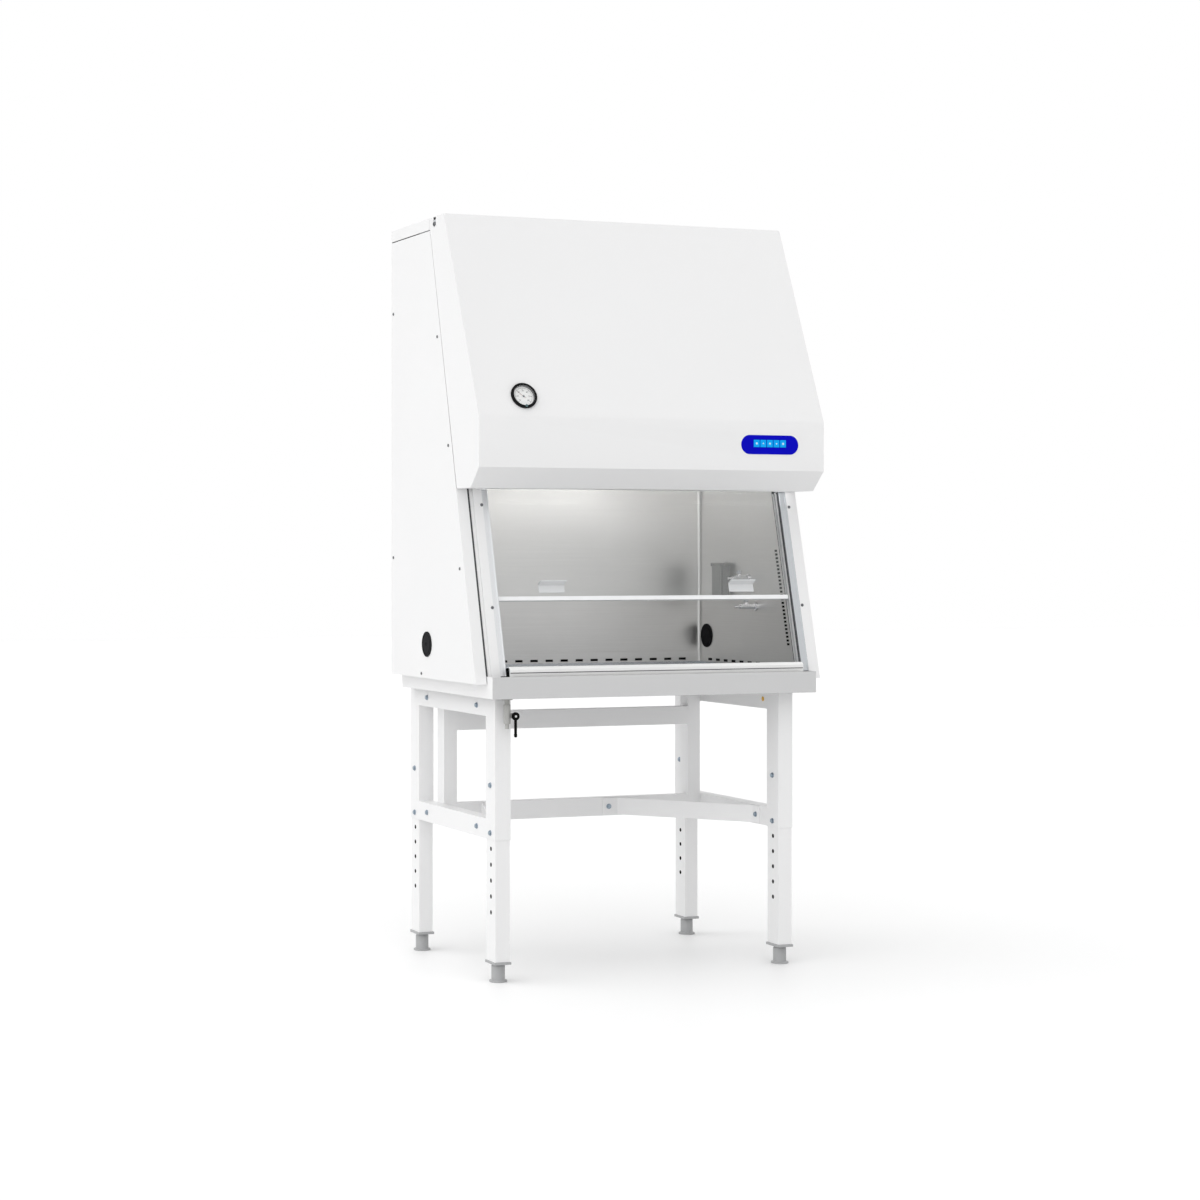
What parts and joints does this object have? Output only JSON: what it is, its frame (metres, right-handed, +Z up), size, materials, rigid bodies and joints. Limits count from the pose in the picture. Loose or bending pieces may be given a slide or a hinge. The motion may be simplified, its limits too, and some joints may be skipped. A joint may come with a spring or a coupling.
{
  "type": "biosafety cabinet",
  "caption": "Class II biological safety cabinet with a sloped sliding sash over a stainless work chamber, on a stand with telescoping legs and levelling feet.",
  "frame": {"origin": "on the floor under the middle of the whole part", "axes": "+X to the user's right, +Y from the user to the back, +Z up"},
  "size_m": [1.247, 0.836, 2.48],
  "materials": {
    "apron_paint": "fine satin powder coat",
    "white_paint": "fine satin powder coat",
    "stand_paint": "fine satin powder coat",
    "zinc_steel": "bright zinc plate",
    "track_aluminium": "satin anodised",
    "black_rubber": "matte",
    "stainless": "fine brushed",
    "galvanised": "spangled",
    "motor_black": "semi-gloss",
    "gauge_black": "gloss",
    "dial_white": "printed card",
    "lens_glass": "clear",
    "needle_red": "matte",
    "panel_blue": "satin film",
    "key_blue": "satin film",
    "lamp_glass": "frosted",
    "filter_paper": "pleated paper",
    "outlet_grey": "satin",
    "valve_chrome": "polished",
    "knob_grey": "satin",
    "drain_beige": "satin",
    "lever_black": "satin",
    "sash_glass": "clear tempered",
    "rail_white": "gloss",
    "handle_clear": "gloss",
    "weight_steel": "primer",
    "plug_grey": "satin",
    "foot_grey": "satin"
  },
  "bodies": {
    "cabinet": {"base_tray": "apron_paint", "rear_panel": "white_paint", "roof_cap": "white_paint", "side_panel_left": "white_paint", "side_panel_right": "white_paint", "front_cover": "white_paint", "cabinet_screws": "zinc_steel", "column_left": "white_paint", "track_left": "track_aluminium", "track_right": "track_aluminium", "column_seals": "black_rubber", "chamber_liner": "stainless", "supply_diffuser": "stainless", "plenum_box": "galvanised", "blower_housing": "galvanised", "blower_motor": "motor_black", "gauge_case": "gauge_black", "gauge_dial": "dial_white", "gauge_lens": "lens_glass", "control_panel": "panel_blue", "lamp_housing": "white_paint", "lamp_tube": "lamp_glass", "supply_filter": "filter_paper", "exhaust_filter": "filter_paper", "outlet_box": "outlet_grey", "service_valves": "valve_chrome", "drain_valve": "drain_beige", "side_frame_left": "stand_paint", "side_frame_right": "stand_paint", "rear_crossframe": "stand_paint", "stand_braces": "stand_paint", "stand_bolts": "zinc_steel"},
    "sash": {"sash_glass": "sash_glass", "sash_rail": "rail_white", "sash_handles": "handle_clear"},
    "counterweights": {"counterweights": "weight_steel"},
    "sash_shaft": {"sash_shaft": "zinc_steel"},
    "blower_wheel": {"blower_wheel": "galvanised"},
    "gauge_needle": {"gauge_needle": "needle_red"},
    "outlet_cover": {"outlet_cover": "outlet_grey"},
    "valve_knob_upper": {"valve_knob_upper": "knob_grey"},
    "valve_knob_lower": {"valve_knob_lower": "knob_grey"},
    "drain_lever": {"drain_lever": "lever_black"},
    "port_plug_left": {"port_plug_left": "plug_grey"},
    "port_plug_right": {"port_plug_right": "plug_grey"},
    "work_tray": {"work_tray": "stainless"},
    "front_grille": {"front_grille": "stainless"},
    "key_1": {"key_1": "key_blue"},
    "key_2": {"key_2": "key_blue"},
    "key_3": {"key_3": "key_blue"},
    "key_4": {"key_4": "key_blue"},
    "key_5": {"key_5": "key_blue"},
    "leg_front_left": {"leg_front_left": "stand_paint"},
    "foot_front_left": {"foot_front_left": "foot_grey"},
    "leg_front_right": {"leg_front_right": "stand_paint"},
    "foot_front_right": {"foot_front_right": "foot_grey"},
    "leg_rear_left": {"leg_rear_left": "stand_paint"},
    "foot_rear_left": {"foot_rear_left": "foot_grey"},
    "leg_rear_right": {"leg_rear_right": "stand_paint"},
    "foot_rear_right": {"foot_rear_right": "foot_grey"}
  },
  "joints": [
    {"name": "sash_slide", "type": "slide", "parent": "cabinet", "child": "sash", "axis": [0, 0.2605, 0.9655], "range_m": [-0.21, 0.3]},
    {"name": "counterweight_slide", "type": "slide", "parent": "cabinet", "child": "counterweights", "axis": [0, 0, -1], "range_m": [-0.22, 0.31]},
    {"name": "sash_shaft_turn", "type": "hinge", "parent": "cabinet", "child": "sash_shaft", "pos_m": [0, 0.04863, 2.33], "axis": [1, 0, 0], "range_deg": [-600, 420]},
    {"name": "blower_spin", "type": "hinge", "parent": "cabinet", "child": "blower_wheel", "pos_m": [0.012, 0.19, 2.01], "axis": [1, 0, 0], "continuous": true},
    {"name": "gauge_needle_turn", "type": "hinge", "parent": "cabinet", "child": "gauge_needle", "pos_m": [-0.4546, -0.37258, 1.87097], "axis": [0, -0.9139, 0.406], "range_deg": [-185, 85]},
    {"name": "key_1_press", "type": "slide", "parent": "cabinet", "child": "key_1", "axis": [0, 1, 0], "range_m": [0, 0.001], "stiffness_N_per_m": 400},
    {"name": "key_2_press", "type": "slide", "parent": "cabinet", "child": "key_2", "axis": [0, 1, 0], "range_m": [0, 0.001], "stiffness_N_per_m": 400},
    {"name": "key_3_press", "type": "slide", "parent": "cabinet", "child": "key_3", "axis": [0, 1, 0], "range_m": [0, 0.001], "stiffness_N_per_m": 400},
    {"name": "key_4_press", "type": "slide", "parent": "cabinet", "child": "key_4", "axis": [0, 1, 0], "range_m": [0, 0.001], "stiffness_N_per_m": 400},
    {"name": "key_5_press", "type": "slide", "parent": "cabinet", "child": "key_5", "axis": [0, 1, 0], "range_m": [0, 0.001], "stiffness_N_per_m": 400},
    {"name": "outlet_cover_flip", "type": "hinge", "parent": "cabinet", "child": "outlet_cover", "pos_m": [0.5177, 0.16, 1.3333], "axis": [0, 1, 0], "range_deg": [0, 110]},
    {"name": "valve_upper_turn", "type": "hinge", "parent": "cabinet", "child": "valve_knob_upper", "pos_m": [0.508, -0.02, 1.304], "axis": [0, 0, 1], "range_deg": [0, 90]},
    {"name": "valve_lower_turn", "type": "hinge", "parent": "cabinet", "child": "valve_knob_lower", "pos_m": [0.508, -0.07, 1.208], "axis": [0, 0, 1], "range_deg": [0, 90]},
    {"name": "drain_lever_turn", "type": "hinge", "parent": "cabinet", "child": "drain_lever", "pos_m": [-0.487, -0.3803, 0.8534], "axis": [0, 1, 0], "range_deg": [-90, 0]},
    {"name": "port_plug_left_pull", "type": "slide", "parent": "cabinet", "child": "port_plug_left", "axis": [-1, 0, 0], "range_m": [0, 0.06]},
    {"name": "port_plug_right_pull", "type": "slide", "parent": "cabinet", "child": "port_plug_right", "axis": [-1, 0, 0], "range_m": [0, 0.06]},
    {"name": "work_tray_lift", "type": "slide", "parent": "cabinet", "child": "work_tray", "axis": [0, 0, 1], "range_m": [0, 0.045]},
    {"name": "front_grille_lift", "type": "slide", "parent": "cabinet", "child": "front_grille", "axis": [0, 0, 1], "range_m": [0, 0.1]},
    {"name": "leg_front_left_extend", "type": "slide", "parent": "cabinet", "child": "leg_front_left", "axis": [0, 0, -1], "range_m": [-0.254, 0.1016]},
    {"name": "foot_front_left_level", "type": "slide", "parent": "leg_front_left", "child": "foot_front_left", "axis": [0, 0, -1], "range_m": [0, 0.025]},
    {"name": "leg_front_right_extend", "type": "slide", "parent": "cabinet", "child": "leg_front_right", "axis": [0, 0, -1], "range_m": [-0.254, 0.1016]},
    {"name": "foot_front_right_level", "type": "slide", "parent": "leg_front_right", "child": "foot_front_right", "axis": [0, 0, -1], "range_m": [0, 0.025]},
    {"name": "leg_rear_left_extend", "type": "slide", "parent": "cabinet", "child": "leg_rear_left", "axis": [0, 0, -1], "range_m": [-0.254, 0.1016]},
    {"name": "foot_rear_left_level", "type": "slide", "parent": "leg_rear_left", "child": "foot_rear_left", "axis": [0, 0, -1], "range_m": [0, 0.025]},
    {"name": "leg_rear_right_extend", "type": "slide", "parent": "cabinet", "child": "leg_rear_right", "axis": [0, 0, -1], "range_m": [-0.254, 0.1016]},
    {"name": "foot_rear_right_level", "type": "slide", "parent": "leg_rear_right", "child": "foot_rear_right", "axis": [0, 0, -1], "range_m": [0, 0.025]}
  ],
  "couplings": [
    {"joint": "counterweight_slide", "follows": "sash_slide", "ratio": 1},
    {"joint": "sash_shaft_turn", "follows": "sash_slide", "rad_per_m": -33.333}
  ]
}
